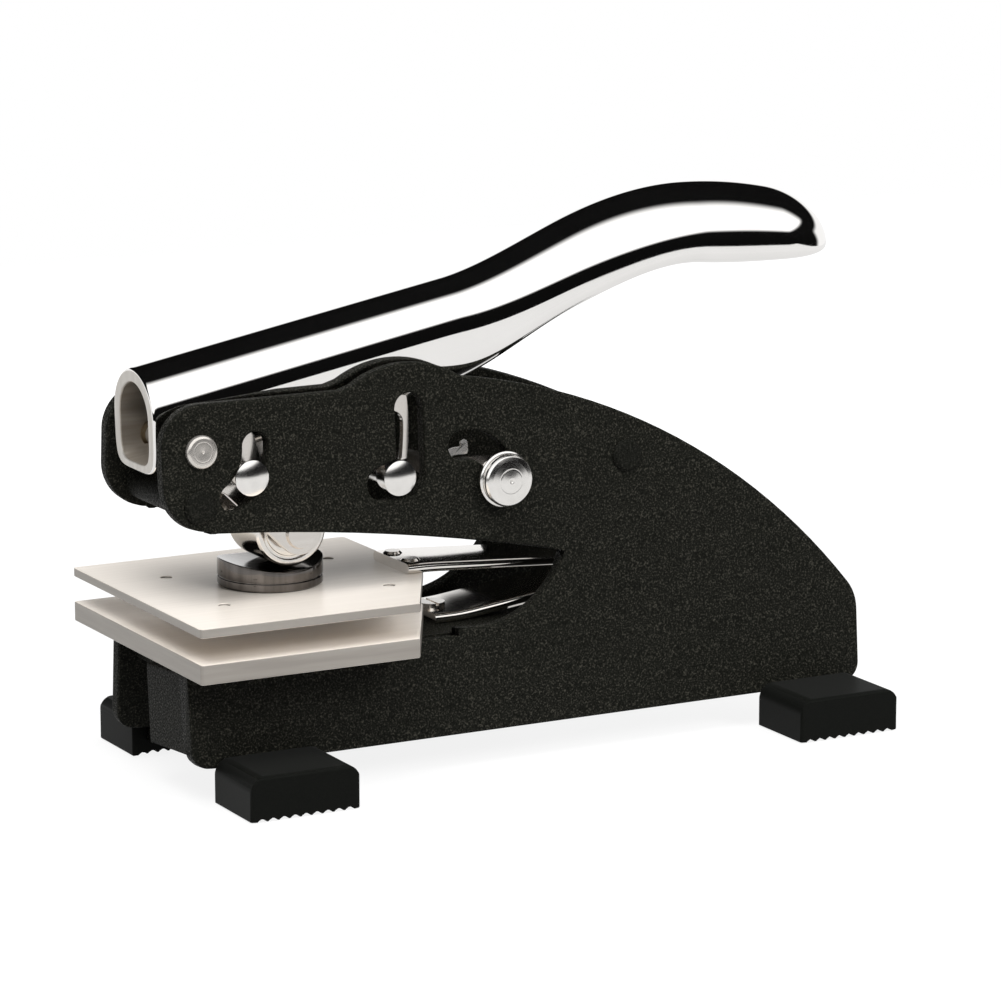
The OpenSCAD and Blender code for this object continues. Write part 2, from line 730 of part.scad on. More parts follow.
module pad_screw() {
    color(STEEL) translate([pad_x, 0, 0]) {
        translate([0, 0, upper_bottom + 0.1]) cylinder(h = 1, r = screw_head_r);
        translate([0, 0, upper_bottom + 1]) cylinder(h = upper_t + 2, r = screw_r);
    }
}

// Feet

// Slip-on rubber foot: rounded over its outer edges, ribbed underneath, with a pocket for the frame tab
module foot(x) {
    edge_r = 1.2;
    corner_r = 0.8;
    end_r = 4;
    rib = foot_len / foot_ribs;
    color(RUBBER) difference() {
        intersection() {
            translate([x, 0, 0]) rotate([90, 0, 90]) linear_extrude(foot_len) difference() {
                translate([-foot_in - foot_w, 0]) square([foot_w, foot_h]);
                corner_cut([-foot_in - foot_w, foot_h], edge_r, -1, 1);
            }
            linear_extrude(foot_h) difference() {
                translate([x, -foot_in - foot_w]) square([foot_len, foot_w]);
                corner_cut([x, -foot_in - foot_w], corner_r, -1, -1);
                corner_cut([x + foot_len, -foot_in - foot_w], corner_r, 1, -1);
            }
            along_y(-across, 0) difference() {
                translate([x, 0]) square([foot_len, foot_h]);
                corner_cut([x, foot_h], end_r, -1, 1);
                corner_cut([x + foot_len, foot_h], end_r, 1, 1);
            }
        }
        for (i = [1 : foot_ribs - 1])
            cross_bar(x + i * rib, -0.35 * rib, 0.55 * rib, -across, 0);
        translate([x + (foot_len - tab_len) / 2 - fit, -foot_in - foot_w + tab_wall - fit, tab_drop - fit])
            cube([tab_len + 2 * fit, foot_w, tab_t + 2 * fit]);
        on_left_plate() translate([x + (foot_len - tab_len) / 2 - fit, 0, -plate_t])
            cube([tab_len + 2 * fit, plate_bottom + 0.4, plate_t + fit]);
    }
}

module front_left_foot() { foot(0); }
module rear_left_foot() { foot(foot_pitch); }
module front_right_foot() { mirror([0, 1, 0]) foot(0); }
module rear_right_foot() { mirror([0, 1, 0]) foot(foot_pitch); }

// Hand lever

ring_points = 40;
// Share of the grip's height that its arched top takes up
grip_arch = 0.733;
// One closed section of the lever at x: in front a round arch on straight sides, at the grip a broad oval
function section(x, inset, floor_t) =
    let (
        k = nose_share(x, nose_side),
        top = tip_z + (lever_top(x) - inset - tip_z) * k,
        low = tip_z + (lever_low(x) + floor_t - tip_z) * k,
        half = (lever_half(x) - inset) * nose_share(x, nose_plan),
        run = x < low_bend_x ? 0 : min(1, (x - low_bend_x) / (grip_x - low_bend_x)),
        grip = run * run * (3 - 2 * run),
        arch = (1 - grip) * half + grip * grip_arch * (top - low),
        spring = top - arch,
        top_power = 2 / (2 - 0.31 * grip),
        low_power = 2 / (5 - 0.74 * grip))
    [for (i = [0 : ring_points - 1])
        let (a = 360 * i / ring_points, c = cos(a), s = sin(a))
        s >= 0 ? [x, half * sign(c) * abs(c) ^ top_power, spring + arch * s ^ top_power]
        : [x, half * sign(c) * abs(c) ^ low_power, spring - (spring - low) * abs(s) ^ low_power]];

// Closed skin over a row of sections
module loft(rings) {
    n = ring_points;
    last = len(rings) - 1;
    polyhedron(
        points = [for (ring = rings) each ring],
        faces = concat(
            [[for (i = [0 : n - 1]) i]],
            [for (k = [0 : last - 1], i = [0 : n - 1]) let (j = (i + 1) % n)
                each [[k * n + i, (k + 1) * n + i, (k + 1) * n + j], [k * n + i, (k + 1) * n + j, k * n + j]]],
            [[for (i = [n - 1 : -1 : 0]) last * n + i]]),
        convexity = 4);
}

neck_steps = 20;
nose_steps = 10;
// Sections stand close together where the lever bends and at its nose
lever_stations = concat(
    [mouth_x - 8, low_bend_x - 0.01],
    [for (i = [1 : neck_steps]) low_bend_x + (nose_x - low_bend_x) * i / neck_steps],
    [for (i = [1 : nose_steps]) nose_x + (tip_x - nose_x) * sin(89.2 * i / nose_steps)]);
hollow_stations = concat(
    [mouth_x - 9, low_bend_x - 0.01],
    [for (i = [1 : 8]) low_bend_x + (hollow_x - low_bend_x) * i / 8]);
lug_r = 6.4;

module handle_lever() {
    color(CHROME) difference() {
        union() {
            difference() {
                loft([for (x = lever_stations) section(x, 0, 0)]);
                loft([for (x = hollow_stations) section(x, handle_wall, handle_floor)]);
                // Mouth, cut nearly upright
                translate([mouth_x, 0, mouth_mid_z]) rotate([0, -mouth_lean, 0])
                    translate([-across, -across / 2, -across / 2]) cube([across, across, across]);
            }
            // Lug that carries the drive pin under the lever's floor
            along_y(-cheek_in, cheek_in)
                taper_bar([drive_x, drive_z], lug_r, [drive_x + 1, front_low(drive_x) + 1], 1.2);
        }
        cross_bar(pivot_x, pivot_z, bush_r + fit, -across, across);
        cross_bar(drive_x, drive_z, drive_r + fit, -across, across);
    }
}

bush_r = 4;

// Bronze bushes pressed into the lever's side walls
module pivot_bushes() {
    color("#b08d57") both_sides() difference() {
        cross_bar(pivot_x, pivot_z, bush_r, -cheek_in, -cheek_in + handle_wall + 1);
        cross_bar(pivot_x, pivot_z, pivot_r + fit, -across, across);
    }
}

// The stop pin shifts this far down the slot's toe
stop_shift = 3.3;
toe_lean = 24.24;
stop_near = [stop_x - pivot_x, stop_z - pivot_z];
stop_far = stop_near - polar(toe_lean, stop_shift);
press_angle = 13.2;
fork_r = stop_r + 0.3;
fork_open = 36;
function angle_of(p) = atan2(p[1], p[0]);

// Steel cheek beside the lever: hangs the roller under the drive pin and reaches back past the stop pin
module press_cheek() {
    pivot = [pivot_x, pivot_z];
    drive = [drive_x, drive_z];
    shoulder = [drive_x, pivot_z + 0.4];
    shoulder_r = 4.1;
    color(STEEL) difference() {
        along_y(-cheek_out, -cheek_in) difference() {
            union() {
                taper_bar(pivot, cheek_pivot_r, drive, cheek_drive_r);
                taper_bar(pivot, cheek_pivot_r, shoulder, shoulder_r);
                taper_bar(drive, cheek_drive_r, shoulder, shoulder_r);
                taper_bar(drive, cheek_drive_r, [roller_x, roller_z], cheek_axle_r);
                intersection() {
                    taper_bar(drive - [0, 2.4], 4, [arm_x, arm_z], cheek_arm_r);
                    translate(pivot) circle(cheek_reach, $fn = 180);
                }
            }
            // Fork that passes the stop pin, in both its places, as the lever goes down
            for (p = [stop_near, stop_far])
                arc_slot(pivot, norm(p), -fork_open, angle_of(p) + press_angle, fork_r);
            translate(pivot) rotate(press_angle) taper_bar(stop_near, fork_r, stop_far, fork_r);
        }
        cross_bar(pivot_x, pivot_z, pivot_r + fit, -across, across);
        cross_bar(drive_x, drive_z, drive_r + fit, -across, across);
        cross_bar(roller_x, roller_z, axle_r + fit, -across, across);
    }
}

module left_press_cheek() { press_cheek(); }
module right_press_cheek() { mirror([0, 1, 0]) press_cheek(); }

// Straight rim of a domed head
dome_rim = 0.6;

// Domed head of a cross pin, outside the left plate
module dome_head(x, z, r, y) {
    h = 0.55 * r;
    ball = (r ^ 2 + h ^ 2) / (2 * h);
    translate([x, -y, z]) rotate([90, 0, 0]) {
        cylinder(h = dome_rim, r = r);
        translate([0, 0, dome_rim]) intersection() {
            translate([0, 0, h - ball]) sphere(ball);
            cylinder(h = h + cut, r = r);
        }
    }
}

// Pin through both slots with a domed head on each end
module headed_pin(x, z, r, drop) {
    y = head_y(z, drop);
    color(STEEL) {
        cross_bar(x, z, r, -y - 0.2, y + 0.2);
        both_sides() dome_head(x, z, head_r, y);
    }
}

// How far the pins sink as they travel
drive_sink = 3.2;
stop_sink = 1.8;

module drive_pin() { headed_pin(drive_x, drive_z, drive_r, drive_sink); }

// Thicker ends guide the stop pin under the upper edge of its slots
module stop_pin() {
    headed_pin(stop_x, stop_z, stop_r, stop_sink);
    color(STEEL) both_sides()
        cross_bar(stop_x, stop_z, stop_r + 1, -head_y(stop_z, stop_sink) - 0.2, -inner_y(stop_z) + 0.4);
}

// Roller and its axle

axle_head_r = 4.2;
axle_head_t = 1;
rim_w = 1.8;
rim_deep = 0.8;

module roller_axle() {
    color(STEEL) {
        cross_bar(roller_x, roller_z, axle_r, -cheek_out - 0.2, cheek_out + 0.2);
        both_sides() translate([roller_x, -cheek_out, roller_z]) rotate([90, 0, 0])
            cylinder(h = axle_head_t, r1 = axle_head_r, r2 = axle_head_r - 0.4);
    }
}

module roller_spacers() {
    color(STEEL) both_sides() difference() {
        cross_bar(roller_x, roller_z, axle_r + 1.6, -cheek_in, -roller_len / 2 - run_gap);
        cross_bar(roller_x, roller_z, axle_r + fit, -across, across);
    }
}

// Hardened roller, its end faces turned back inside a rim
module press_roller() {
    color(STEEL) translate([roller_x, 0, roller_z]) rotate([90, 0, 0]) rotate_extrude() difference() {
        translate([axle_r + fit, -roller_len / 2])
            square([roller_r - axle_r - fit, roller_len]);
        for (s = [-1, 1]) {
            translate([roller_r - rim_w - 1, s * (roller_len / 2) - rim_deep])
                square([1, 2 * rim_deep]);
            polygon([[roller_r - 0.6, s * (roller_len / 2 + cut)], [roller_r - 0.6, s * roller_len / 2],
                [roller_r, s * (roller_len / 2 - 0.6)], [roller_r + cut, s * (roller_len / 2 - 0.6)],
                [roller_r + cut, s * (roller_len / 2 + cut)]]);
        }
    }
}

// Lock

crank_in = cheek_in + 0.5;
crank_t = 1.4;
crank_r = 4.6;
button_y = outer_y(bolt_z - button_r) + run_gap;

// Crank that swings the lock bolt round its hidden shaft
module lock_crank() {
    color(STEEL) difference() {
        along_y(-crank_in - crank_t, -crank_in)
            taper_bar([lock_x, lock_z], crank_r + 0.4, [bolt_x, bolt_z], crank_r);
        cross_bar(lock_x, lock_z, lock_shaft_r + fit, -across, across);
        cross_bar(bolt_x, bolt_z, bolt_r + fit, -across, across);
    }
}

// Short bolt through the curved slot that joins the crank and the button
module lock_bolt() {
    color(STEEL) cross_bar(bolt_x, bolt_z, bolt_r, -button_y - 3, -crank_in);
}

detent_t = 0.8;

// Small hooked catch of sheet steel, flat on the plate's inner face; its head shows at the far end of the
// slot, where it ends the button's swing
module lock_detent() {
    seat = [lock_x, on_slope(lock_z) + plate_t * tan(plate_lean)];
    neck = seat + [-2, lock_reach - 2.1];
    head = seat + [1.2, lock_reach - 2.2];
    color(STEEL) on_left_plate() translate([0, 0, -plate_t - detent_t]) linear_extrude(detent_t) {
        taper_bar(seat + [-6.5, lock_reach - 4.1], 1.7, neck, 1);
        taper_bar(neck, 1.01, head, 1.05);
        taper_bar(head, 1.06, head + [-0.1, 1.9], 1.02);
    }
}

// Turned button with a stepped flange, a dished face and a centre dot
module lock_button() {
    h = button_h;
    r = button_r;
    color(CHROME) translate([bolt_x, -button_y, bolt_z]) rotate([90, 0, 0]) rotate_extrude() polygon([
        [bolt_r + fit, 0], [r - 0.4, 0], [r, 0.4], [r, 1.4], [r - 0.5, 1.8], [r - 0.9, 1.8], [r - 0.9, 2.4],
        [r - 0.5, 2.7], [r - 0.5, h - 0.9], [r - 1.3, h], [r - 2.1, h - 0.1], [r - 3, h - 0.7],
        [0.9, h - 0.9], [0.5, h - 0.6], [0, h - 0.6], [0, 3 + fit], [bolt_r + fit, 3 + fit]]);
}

placed() {
    left_side_plate();
    right_side_plate();
    front_spacer_stud();
    rear_spacer_stud();
    pivot_rivet();
    die_bed();
    lower_die_plate();
    lower_plate_screws();
    bow_spring();
    bow_screw();
    lock_shaft();
    front_left_foot();
    front_right_foot();
    rear_left_foot();
    rear_right_foot();
    handle_lever();
    left_press_cheek();
    right_press_cheek();
    drive_pin();
    pivot_bushes();
    roller_axle();
    roller_spacers();
    press_roller();
    saddle_pad();
    pad_screw();
    upper_die_plate();
    bow_rivets();
    lock_bolt();
    lock_button();
    lock_crank();
    lock_detent();
    stop_pin();
}
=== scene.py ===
"""Desk embossing press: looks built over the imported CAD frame. Lengths are in mm unless a name ends in _m."""

import bmesh
import bpy
import numpy as np
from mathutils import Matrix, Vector
from mathutils.kdtree import KDTree


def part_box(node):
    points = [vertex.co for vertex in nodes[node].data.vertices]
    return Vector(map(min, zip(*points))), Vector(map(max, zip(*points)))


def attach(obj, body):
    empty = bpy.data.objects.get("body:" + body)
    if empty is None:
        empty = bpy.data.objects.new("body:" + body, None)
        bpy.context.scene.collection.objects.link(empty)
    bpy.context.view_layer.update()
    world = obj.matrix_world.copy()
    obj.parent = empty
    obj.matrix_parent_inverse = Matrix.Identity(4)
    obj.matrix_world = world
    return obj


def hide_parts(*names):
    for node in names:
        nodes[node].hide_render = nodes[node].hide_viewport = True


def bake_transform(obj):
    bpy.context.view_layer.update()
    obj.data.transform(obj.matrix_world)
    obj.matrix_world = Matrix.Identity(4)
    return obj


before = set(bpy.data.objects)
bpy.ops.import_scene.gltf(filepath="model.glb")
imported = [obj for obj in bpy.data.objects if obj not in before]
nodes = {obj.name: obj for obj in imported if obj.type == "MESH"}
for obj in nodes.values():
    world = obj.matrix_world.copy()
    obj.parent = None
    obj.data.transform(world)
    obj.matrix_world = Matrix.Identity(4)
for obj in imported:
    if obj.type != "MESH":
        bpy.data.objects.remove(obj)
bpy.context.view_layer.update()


# Side plates of thick stamped steel, leaning together towards the top and held apart by two riveted studs
# and the die bed. All of it wears one near-black powder coat with a fine sandy grain, rolled a little over
# the edges.
def grained(name, stretch, detail, coarse, tones, constants):
    """A finish whose tint runs through tones, pairs of a share and a colour, along one noise of the piece's
    own coordinates times stretch. The constants go straight on the shader's sockets."""
    finish = bpy.data.materials.new(name)
    finish.use_nodes = True
    steps, wires = finish.node_tree.nodes, finish.node_tree.links
    where = steps.new("ShaderNodeTexCoord")
    drawn = steps.new("ShaderNodeMapping")
    drawn.inputs["Scale"].default_value = stretch
    wires.new(where.outputs["Object"], drawn.inputs["Vector"])
    grain = steps.new("ShaderNodeTexNoise")
    grain.name = "grain"
    grain.inputs["Scale"].default_value = 1
    grain.inputs["Detail"].default_value = detail
    grain.inputs["Roughness"].default_value = coarse
    wires.new(drawn.outputs["Vector"], grain.inputs["Vector"])
    tint = steps.new("ShaderNodeValToRGB")
    stops = tint.color_ramp.elements
    stops[0].position = tones[0][0]
    stops[1].position = tones[-1][0]
    for share, _ in tones[1:-1]:
        stops.new(share)
    for stop, (_, colour) in zip(stops, tones):
        stop.color = (*colour, 1)
    wires.new(grain.outputs["Fac"], tint.inputs["Fac"])
    shader = steps["Principled BSDF"]
    wires.new(tint.outputs["Color"], shader.inputs["Base Color"])
    for socket, value in constants.items():
        shader.inputs[socket].default_value = value
    return finish


def raised(finish, strength, depth_m):
    """Lets a finish's grain stand out as bumps."""
    steps, wires = finish.node_tree.nodes, finish.node_tree.links
    bump = steps.new("ShaderNodeBump")
    bump.inputs["Strength"].default_value = strength
    bump.inputs["Distance"].default_value = depth_m
    wires.new(steps["grain"].outputs["Fac"], bump.inputs["Height"])
    wires.new(bump.outputs["Normal"], steps["Principled BSDF"].inputs["Normal"])


def glossed(finish, first, last, start=0, end=1):
    """Lets a finish's roughness run from first to last while its grain goes from start to end."""
    steps, wires = finish.node_tree.nodes, finish.node_tree.links
    gloss = steps.new("ShaderNodeMapRange")
    gloss.inputs["From Min"].default_value = start
    gloss.inputs["From Max"].default_value = end
    gloss.inputs["To Min"].default_value = first
    gloss.inputs["To Max"].default_value = last
    wires.new(steps["grain"].outputs["Fac"], gloss.inputs["Value"])
    wires.new(gloss.outputs["Result"], steps["Principled BSDF"].inputs["Roughness"])


def powder_coat(name, middle, light):
    """Powder coat whose grain turns from near black through middle to light, and is glossy on its peaks."""
    tones = [(0.36, (0.0045, 0.0048, 0.0036)), (0.55, middle), (0.7, light)]
    finish = grained(name, stretch=(2100, 2100, 2100), detail=2, coarse=0.55, tones=tones,
                     constants={"Specular IOR Level": 0.06})
    raised(finish, strength=0.8, depth_m=0.0003)
    glossed(finish, first=0.75, last=0.32, start=0.36, end=0.66)
    return finish


# Turns are in radians; corner_room is in widths of the rounding, split_room and near_room in corner rooms
rolled_edge = 0.7
corner_room, split_room, near_room = 3.0, 3, 0.99
sharp_turn, flat_turn = 0.6, 0.01
weld_m = 1.5e-4
ease_steps, flat_weight = 3, 100


def eased_copy(node, piece_name, ease, finish, body):
    """A CAD node's copy, merged and with flat faces joined, whose outward edges are rounded over by ease. The
    rounding stops short of corners where an inward or a very short edge leaves it no room."""
    mesh = nodes[node].data.copy()
    b = bmesh.new()
    b.from_mesh(mesh)
    bmesh.ops.remove_doubles(b, verts=b.verts, dist=weld_m)
    bmesh.ops.dissolve_limit(b, angle_limit=flat_turn, verts=b.verts, edges=b.edges)
    room = corner_room * ease / 1000
    meeting = {}
    for e in [e for e in b.edges if e.calc_face_angle(0) > sharp_turn]:
        for v in e.verts:
            meeting.setdefault(v, []).append(e)
    tight = {v: edges for v, edges in meeting.items()
             if len(edges) != 2 and any(not e.is_convex or e.calc_length() < room for e in edges)}
    crowd = KDTree(len(tight))
    for place, (v, edges) in enumerate(tight.items()):
        crowd.insert(v.co, place)
        for e in edges:
            if e.is_valid and v in e.verts and e.calc_length() > split_room * room:
                bmesh.utils.edge_split(e, v, room / e.calc_length())
    crowd.balance()
    weight = b.edges.layers.float.new("bevel_weight_edge")
    for e in b.edges:
        free = min(crowd.find(v.co)[2] or 0 for v in e.verts) > near_room * room if tight else True
        e[weight] = float(free and e.is_convex and e.calc_face_angle(0) > sharp_turn)
    b.to_mesh(mesh)
    b.free()
    mesh.materials.clear()
    mesh.materials.append(finish)
    mesh.shade_smooth()
    piece = bpy.data.objects.new(piece_name, mesh)
    bpy.context.scene.collection.objects.link(piece)
    edge = piece.modifiers.new("eased_edge", "BEVEL")
    edge.width = ease / 1000
    edge.segments = ease_steps
    edge.limit_method = "WEIGHT"
    edge.use_clamp_overlap = False
    edge.loop_slide = False
    flat = piece.modifiers.new("flat_faces", "WEIGHTED_NORMAL")
    flat.weight = flat_weight
    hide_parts(node)
    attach(piece, body)
    return piece


def finish_node(name, finish):
    """Gives a finish to a CAD node whose shape is shown as it is."""
    nodes[name].data.materials.clear()
    nodes[name].data.materials.append(finish)


coat = powder_coat("powder_coat", middle=(0.01, 0.0102, 0.008), light=(0.046, 0.0435, 0.035))
for side_name in ("left", "right"):
    eased_copy(side_name + "_side_plate", "coated_" + side_name + "_plate", rolled_edge, coat, "frame")
finish_node("die_bed", coat)
# The stud ends were riveted over before coating, and the coat on them is darker
stud_coat = powder_coat("stud_coat", middle=(0.0085, 0.0087, 0.007), light=(0.024, 0.023, 0.019))
finish_node("front_spacer_stud", stud_coat)
finish_node("rear_spacer_stud", stud_coat)


# Feet of moulded rubber, matt and nearly black, with soft edges and a ribbed sole. They are slipped on the
# out-turned tabs of the side plates.
foot_ease = 0.3
rubber = grained("foot_rubber", stretch=(2600, 2600, 2600), detail=2, coarse=0.5,
                 tones=[(0, (0.0026, 0.003, 0.0024)), (1, (0.0062, 0.0066, 0.0056))],
                 constants={"Roughness": 0.5, "Specular IOR Level": 0.06, "Sheen Weight": 0.085,
                            "Sheen Roughness": 0.35})
raised(rubber, strength=0.2, depth_m=0.0001)
for name in ("front_left_foot", "front_right_foot", "rear_left_foot", "rear_right_foot"):
    eased_copy(name, "rubber_" + name, foot_ease, rubber, "frame")


# Die plates of satin nickel, ground along their length: cream, with fine lines and softly broken edges; their
# upright sides are painted darker as shade. The lower one is screwed to the bed, the upper one hangs on the bow
# spring.
def polished(name, dark, light, smooth, dull, stretch, metallic=1.0):
    """Metal whose tint runs from dark to light, and its roughness from smooth to dull, along a drawn-out
    noise."""
    finish = grained(name, stretch, detail=4, coarse=0.5, tones=[(0.3, dark), (0.7, light)],
                     constants={"Metallic": metallic})
    glossed(finish, smooth, dull)
    return finish


def face_values(piece, what):
    """One row for each face of a piece: its center or its normal."""
    values = np.empty(3 * len(piece.data.polygons))
    piece.data.polygons.foreach_get(what, values)
    return values.reshape(-1, 3)


def face_finishes(piece, choice, *further):
    """Adds further finishes to a piece and sets which one each face takes, 0 for its first."""
    for finish in further:
        piece.data.materials.append(finish)
    piece.data.polygons.foreach_set("material_index", choice.astype(np.int32))


broken_edge = 0.3
upright = 0.5
nickel = grained("satin_nickel", stretch=(9, 800, 1200), detail=5, coarse=0.6,
                 tones=[(0.3, (0.83, 0.765, 0.69)), (0.7, (0.89, 0.825, 0.75))],
                 constants={"Metallic": 0.2, "Roughness": 0.3, "Specular IOR Level": 0.4})
raised(nickel, strength=0.06, depth_m=0.0001)
# Painted shade: every face that stands upright takes this much darker nickel tone
painted_shade_sides = polished("nickel_painted_side_shade", (0.3, 0.275, 0.248), (0.37, 0.343, 0.31), smooth=0.28, dull=0.36,
                     stretch=(30, 30, 500), metallic=0.45)
for name, body in (("upper_die_plate", "ram"), ("lower_die_plate", "frame")):
    plate = eased_copy(name, "ground_" + name, broken_edge, nickel, body)
    face_finishes(plate, np.abs(face_values(plate, "normal")[:, 2]) < upright, painted_shade_sides)


# Pivot rivet: a steel rod through the plates, the cheeks and the lever, with a flat turned head seated
# square on each leaning plate. Its faces are bevelled and keep the lathe's centre mark; between the plates
# it is dull drawn rod.
across = (0, 1, 0)
# Lengths along the press start at the front feet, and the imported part's origin lies under its middle
x_mid = -1000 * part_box("front_left_foot")[0].x


def softened(corners, ease, steps=4, most=0.48):
    """Polyline whose inner corners become short curves: (1-t)^2 a + 2t(1-t) c + t^2 b, with a and b at ease
    from corner c, and never further than the share most along its sides."""
    corners = np.asarray(corners, float)
    c = corners[1:-1, None]
    to_a = corners[:-2, None] - c
    to_b = corners[2:, None] - c
    len_a = np.linalg.norm(to_a, axis=-1, keepdims=True)
    len_b = np.linalg.norm(to_b, axis=-1, keepdims=True)
    a = c + to_a * np.minimum(ease / len_a, most)
    b = c + to_b * np.minimum(ease / len_b, most)
    t = np.linspace(0, 1, steps + 1)[None, :, None]
    curve = (1 - t) ** 2 * a + 2 * t * (1 - t) * c + t**2 * b
    return np.concatenate([corners[:1], curve.reshape(-1, 2), corners[-1:]])


def turned(line, foot, axis, count=96):
    """Turns a line of (height, radius) pairs: foot + height * axis + radius * (side cos u + up sin u)."""
    line = np.asarray(line, float)
    axis = np.asarray(axis, float) / np.linalg.norm(axis)
    side = np.array([1.0, 0.0, 0.0])
    up = np.cross(axis, side)
    u = np.linspace(0, 2 * np.pi, count, endpoint=False)[None, :, None]
    height, radius = line[:, 0, None, None], line[:, 1, None, None]
    return np.asarray(foot, float) + height * axis + radius * (np.cos(u) * side + np.sin(u) * up)


def both_ways(half_line):
    """A line from one end to its middle at height 0, carried on as its mirror image to the other end."""
    return np.concatenate([half_line, half_line[-2::-1] * [-1, 1]])


def skin(grids):
    """Joins closed rings of points, row by row, into quads; every grid's first and last ring is a pole or a
    cap. The points come back in metres from the part's origin."""
    points, faces, start = [], [], 0
    for grid in grids:
        rows, ring = grid.shape[:2]
        row, col = np.meshgrid(np.arange(rows - 1), np.arange(ring), indexing="ij")
        here, beside = row * ring + col, row * ring + (col + 1) % ring
        quads = np.stack([here, beside, beside + ring, here + ring], -1)
        faces += (quads.reshape(-1, 4) + start).tolist()
        faces += [(np.arange(ring) + start).tolist(), (np.arange(ring) + start + (rows - 1) * ring).tolist()]
        points.append(grid.reshape(-1, 3))
        start += rows * ring
    return (np.concatenate(points) - [x_mid, 0, 0]) / 1000, faces


def closed_piece(name, grids, finish, slot, *replaced):
    """A closed piece from its rings, with merged poles, outward faces and smooth shading."""
    points, faces = skin(grids)
    mesh = bpy.data.meshes.new(name)
    mesh.from_pydata(points.tolist(), [], faces)
    b = bmesh.new()
    b.from_mesh(mesh)
    bmesh.ops.remove_doubles(b, verts=b.verts, dist=1e-7)
    bmesh.ops.recalc_face_normals(b, faces=b.faces)
    b.to_mesh(mesh)
    b.free()
    mesh.shade_smooth()
    mesh.set_sharp_from_angle(angle=0.7)
    mesh.materials.append(finish)
    piece = bpy.data.objects.new(name, mesh)
    bpy.context.scene.collection.objects.link(piece)
    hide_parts(*replaced)
    return piece


def made_piece(name, grids, finish, body, slot, *replaced):
    """A closed piece that rides on one body."""
    piece = closed_piece(name, grids, finish, slot, *replaced)
    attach(piece, body)
    return piece


def axis_of(node):
    """Middle of a cross pin along the press, from the front feet, and above the desk, and half its length."""
    low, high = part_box(node)
    return 500 * (low.x + high.x) + x_mid, 500 * (low.z + high.z), 500 * (high.y - low.y)


pivot_x, pivot_z = 0.4, 87.9
plate_lean, desk_half = np.radians(4.5), 25.857
plate_y = desk_half - pivot_z * np.tan(plate_lean)
head_r, head_h, shank_r, turned_ease = 4.2, 1.5, 3.0, 0.15
mark_r, mark_deep, mark_slope = 0.15, 0.2, 0.2
ring_r, ring_half, ring_deep = 2.5, 0.1, 0.04
crown_in, crown_fall, shoulder_in, shoulder_fall, bevel_fall = 0.8, 0.03, 0.25, 0.3, 0.75
root_r, root_deep = 1.0, 1.0
head_line = softened([
    (head_h - mark_deep, 0), (head_h - mark_deep, mark_r), (head_h, mark_r + mark_slope),
    (head_h, ring_r - ring_half), (head_h - ring_deep, ring_r), (head_h, ring_r + ring_half),
    (head_h - crown_fall, head_r - crown_in), (head_h - shoulder_fall, head_r - shoulder_in),
    (head_h - bevel_fall, head_r), (0, head_r), (0, root_r), (-root_deep, root_r), (-root_deep, 0)],
    turned_ease)
heads = [turned(head_line, (pivot_x, s * plate_y, pivot_z), (0, s * np.cos(plate_lean), np.sin(plate_lean)))
         for s in (-1, 1)]
shank_line = [(-plate_y, 0), (-plate_y, shank_r), (plate_y, shank_r), (plate_y, 0)]
shank = turned(shank_line, (pivot_x, 0, pivot_z), across)
turned_steel = polished("turned_steel", (0.68, 0.645, 0.6), (0.72, 0.685, 0.64), smooth=0.2, dull=0.26,
                        stretch=(350, 350, 350), metallic=0.8)
drawn_rod = polished("drawn_rod", (0.42, 0.39, 0.355), (0.6, 0.565, 0.52), smooth=0.3, dull=0.42,
                     stretch=(500, 40, 500), metallic=0.4)
rivet = made_piece("turned_pivot_rivet", heads + [shank], turned_steel, "frame", "bright_steel",
                   "pivot_rivet")
between_plates = np.abs(face_values(rivet, "center")[:, 1]) < (plate_y - head_r) / 1000
face_finishes(rivet, between_plates, drawn_rod)


# Bushes of dark bronze pressed into the lever's walls, seen only inside its mouth, and the lock's plain
# steel shaft, which is hidden between the plates.
bronze = polished("bush_bronze", (0.22, 0.175, 0.115), (0.32, 0.26, 0.18), smooth=0.24, dull=0.36,
                  stretch=(700, 700, 700))
finish_node("pivot_bushes", bronze)
finish_node("lock_shaft", turned_steel)


# Hand lever: one casting, a thick-walled arched tube that swells into an arched grip with a blunt nose.
# Chrome outside; the mouth is sawn off nearly upright and left satin, and the hollow behind it is raw
# metal.
tube_w, tube_h, tube_drop, wall, floor_t = 24.4, 25.6, 5.5, 3.6, 2.2
mouth_x, mouth_lean, hollow_x = -9.2, np.radians(1.5), 118.0
bend_x, low_bend_x, neck_h = 77.8, 71.0, 21.0
grip_x, grip_top, grip_h, grip_w = 148.2, 142.9, 20.3, 30.0
tip_x, tip_z, nose_start, nose_side, nose_plan = 191.7, 125.1, 0.58, 2.45, 1.96
neck_share, neck_slope, neck_lift = 0.484, 0.405, 0.616
grip_low_slope, nose_fall, nose_drop, grip_arch = -0.1, 2.5, 1.0, 0.733
# Powers of the section's curves in the tube, and how much the grip takes off them
arch_power, arch_loss, floor_power, floor_loss = 2, 0.31, 5, 0.74
rise = np.tan(np.radians(10.46))
tall = tube_h * np.sqrt(1 + rise**2)
base = pivot_z - tube_drop - pivot_x * rise
neck_x = bend_x + neck_share * (grip_x - bend_x)
nose_x = grip_x + nose_start * (tip_x - grip_x)


def cubic(x, x0, z0, m0, x1, z1, m1):
    """Cubic that leaves (x0, z0) at slope m0 and reaches (x1, z1) at slope m1: Hermite weights of
    t = (x - x0) / (x1 - x0)."""
    run = x1 - x0
    t = (x - x0) / run
    return ((2 * t**3 - 3 * t**2 + 1) * z0 + (t**3 - 2 * t**2 + t) * run * m0
            + (3 * t**2 - 2 * t**3) * z1 + (t**3 - t**2) * run * m1)


